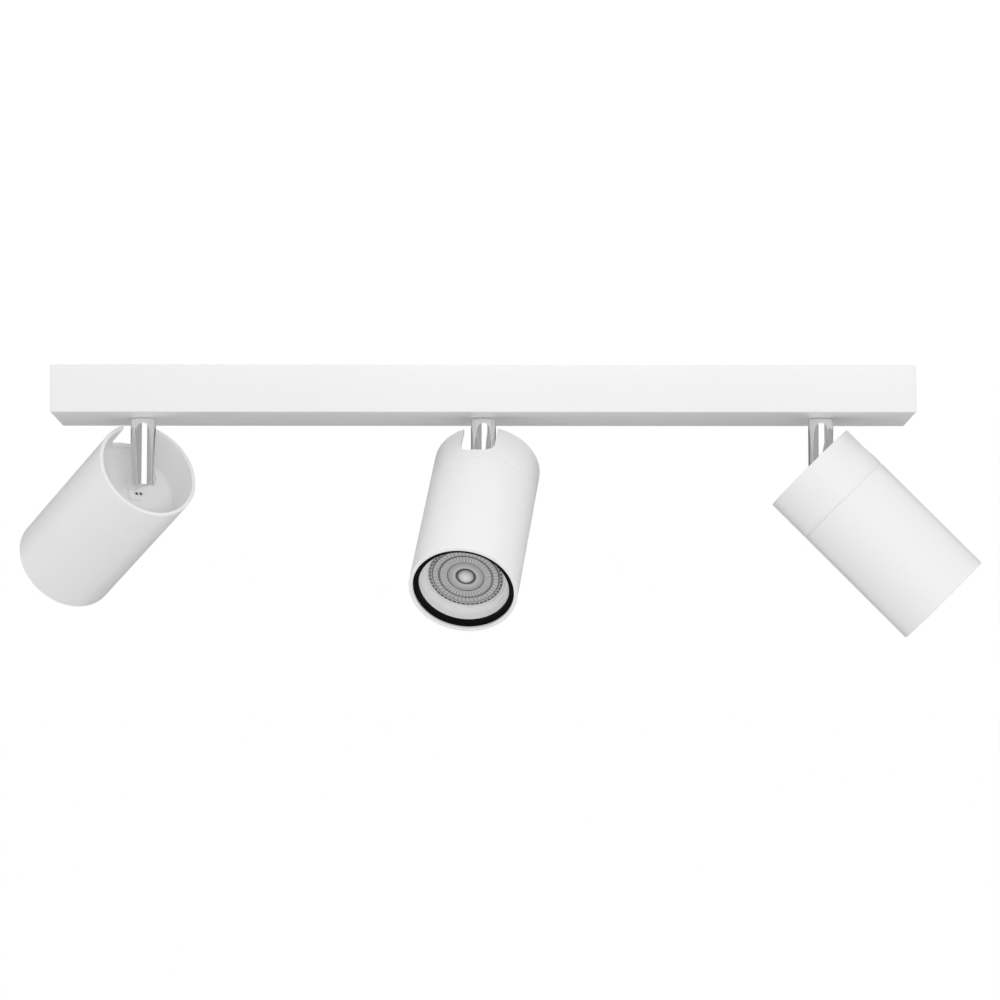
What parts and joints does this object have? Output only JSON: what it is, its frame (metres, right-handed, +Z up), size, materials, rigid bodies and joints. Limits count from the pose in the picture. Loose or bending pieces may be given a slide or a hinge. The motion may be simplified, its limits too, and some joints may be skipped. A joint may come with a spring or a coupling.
{
  "type": "ceiling spotlight bar",
  "caption": "Ceiling light bar with round spot heads; each head pans on a short stem and tilts in a notched open cup, with a reflector lamp behind a black glare ring.",
  "frame": {"origin": "middle of the ceiling plane, on the top face of the mounting bracket", "axes": "+X along the bar, +Z up into the ceiling, the front of the fitting faces -Y"},
  "size_m": [0.5679, 0.1869, 0.1551],
  "materials": {
    "white_paint": "white powder coat, fine satin",
    "chrome_plate": "polished chrome plate",
    "zinc_steel": "bright zinc plate",
    "screw_steel": "nickel plate",
    "bracket_white": "white paint on cast zinc",
    "grommet_rubber": "soft black",
    "terminal_plastic": "natural polyamide",
    "brass": "bare brass",
    "lead_insulation": "silicone sleeve",
    "earth_insulation": "green and yellow sleeve",
    "bush_nylon": "natural nylon",
    "holder_ceramic": "unglazed steatite",
    "lamp_white": "moulded white lamp housing",
    "pin_metal": "nickel-plated brass",
    "lens_clear": "moulded optical plastic",
    "collar_white": "satin white",
    "ring_black": "matt black"
  },
  "bodies": {
    "bar": {"bar_end_screws": "screw_steel", "bar_housing": "white_paint", "cable_grommet": "grommet_rubber", "earth_lead": "earth_insulation", "earth_screw": "screw_steel", "leads_left": "lead_insulation", "leads_middle": "lead_insulation", "leads_right": "lead_insulation", "mounting_bracket": "zinc_steel", "stem_bush_left": "bush_nylon", "stem_bush_middle": "bush_nylon", "stem_bush_right": "bush_nylon", "terminal_block": "terminal_plastic", "terminal_clamp_screws": "brass", "terminal_fixing_screws": "screw_steel"},
    "stem_left": {"pivot_screw_left": "screw_steel", "stem_left": "chrome_plate", "stem_nut_left": "zinc_steel", "stem_washer_left": "zinc_steel"},
    "head_left": {"foot_screws_left": "screw_steel", "front_tube_left": "white_paint", "glare_ring_left": "ring_black", "holder_screws_left": "screw_steel", "lamp_body_left": "lamp_white", "lamp_collar_left": "collar_white", "lamp_lens_left": "lens_clear", "lamp_pins_left": "pin_metal", "lampholder_left": "holder_ceramic", "rear_cup_left": "white_paint", "swivel_bracket_left": "bracket_white"},
    "stem_middle": {"pivot_screw_middle": "screw_steel", "stem_middle": "chrome_plate", "stem_nut_middle": "zinc_steel", "stem_washer_middle": "zinc_steel"},
    "head_middle": {"foot_screws_middle": "screw_steel", "front_tube_middle": "white_paint", "glare_ring_middle": "ring_black", "holder_screws_middle": "screw_steel", "lamp_body_middle": "lamp_white", "lamp_collar_middle": "collar_white", "lamp_lens_middle": "lens_clear", "lamp_pins_middle": "pin_metal", "lampholder_middle": "holder_ceramic", "rear_cup_middle": "white_paint", "swivel_bracket_middle": "bracket_white"},
    "stem_right": {"pivot_screw_right": "screw_steel", "stem_nut_right": "zinc_steel", "stem_right": "chrome_plate", "stem_washer_right": "zinc_steel"},
    "head_right": {"foot_screws_right": "screw_steel", "front_tube_right": "white_paint", "glare_ring_right": "ring_black", "holder_screws_right": "screw_steel", "lamp_body_right": "lamp_white", "lamp_collar_right": "collar_white", "lamp_lens_right": "lens_clear", "lamp_pins_right": "pin_metal", "lampholder_right": "holder_ceramic", "rear_cup_right": "white_paint", "swivel_bracket_right": "bracket_white"}
  },
  "joints": [
    {"name": "pan_left", "type": "hinge", "parent": "bar", "child": "stem_left", "pos_m": [-0.199, 0, -0.0265], "axis": [0, 0, 1], "range_deg": [-24.5, 315.5]},
    {"name": "tilt_left", "type": "hinge", "parent": "stem_left", "child": "head_left", "pos_m": [-0.199, 0, -0.062], "axis": [0.8241, 0.5664, 0], "range_deg": [-64.8, 25.2]},
    {"name": "pan_middle", "type": "hinge", "parent": "bar", "child": "stem_middle", "pos_m": [0, 0, -0.0265], "axis": [0, 0, 1], "range_deg": [-159.8, 180.2]},
    {"name": "tilt_middle", "type": "hinge", "parent": "stem_middle", "child": "head_middle", "pos_m": [0, 0, -0.062], "axis": [-0.9842, 0.1771, 0], "range_deg": [-44.8, 45.2]},
    {"name": "pan_right", "type": "hinge", "parent": "bar", "child": "stem_right", "pos_m": [0.19741, 0, -0.0265], "axis": [0, 0, 1], "range_deg": [-259.5, 80.5]},
    {"name": "tilt_right", "type": "hinge", "parent": "stem_right", "child": "head_right", "pos_m": [0.19741, 0, -0.062], "axis": [-0.0087, -1, 0], "range_deg": [-44.7, 45.3]}
  ]
}
